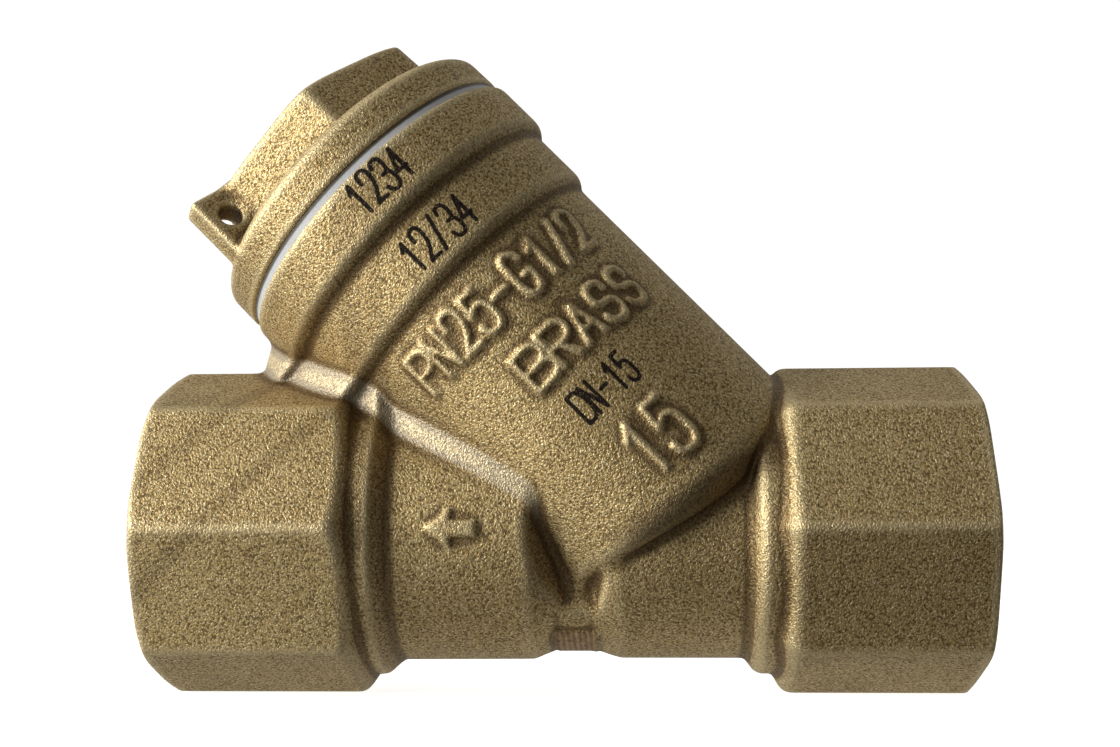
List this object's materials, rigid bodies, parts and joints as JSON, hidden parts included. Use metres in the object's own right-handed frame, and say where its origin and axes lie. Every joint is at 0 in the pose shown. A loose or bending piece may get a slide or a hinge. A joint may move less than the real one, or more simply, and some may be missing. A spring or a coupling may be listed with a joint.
{
  "type": "threaded Y-strainer",
  "caption": "Forged brass Y-strainer for pipework, with a threaded socket at each end, an angled branch, a woven steel screen and a hexagon-headed service cap.",
  "frame": {"origin": "centre of the inlet end face, on the run axis", "axes": "+X out of the inlet along the run, +Z on the side of the branch, which leans towards the outlet at -X; -Y is the marked front"},
  "size_m": [0.066, 0.0294, 0.0547],
  "materials": {
    "forged_brass": "shot-blasted hot-forged brass, fine even grain",
    "ptfe": "smooth white PTFE",
    "stainless": "bright woven wire and pressed strip"
  },
  "bodies": {
    "housing": {"body": "forged_brass"},
    "screen": {"screen_mesh": "stainless", "screen_seam": "stainless", "screen_foot_rim": "stainless", "screen_top_rim": "stainless"},
    "gasket": {"cap_gasket": "ptfe"},
    "service_cap": {"cap": "forged_brass"}
  },
  "joints": [
    {"name": "screen_withdraw", "type": "slide", "parent": "housing", "child": "screen", "axis": [-0.7071, 0, 0.7071], "range_m": [0, 0.036]},
    {"name": "cap_advance", "type": "slide", "parent": "screen", "child": "gasket", "axis": [-0.7071, 0, 0.7071], "range_m": [0, 0.006]},
    {"name": "cap_turn", "type": "hinge", "parent": "gasket", "child": "service_cap", "pos_m": [-0.05171, 0, 0.03041], "axis": [-0.7071, 0, 0.7071], "range_deg": [0, 1441]}
  ],
  "couplings": [
    {"joint": "cap_turn", "follows": "cap_advance", "rad_per_m": 4188.8}
  ]
}
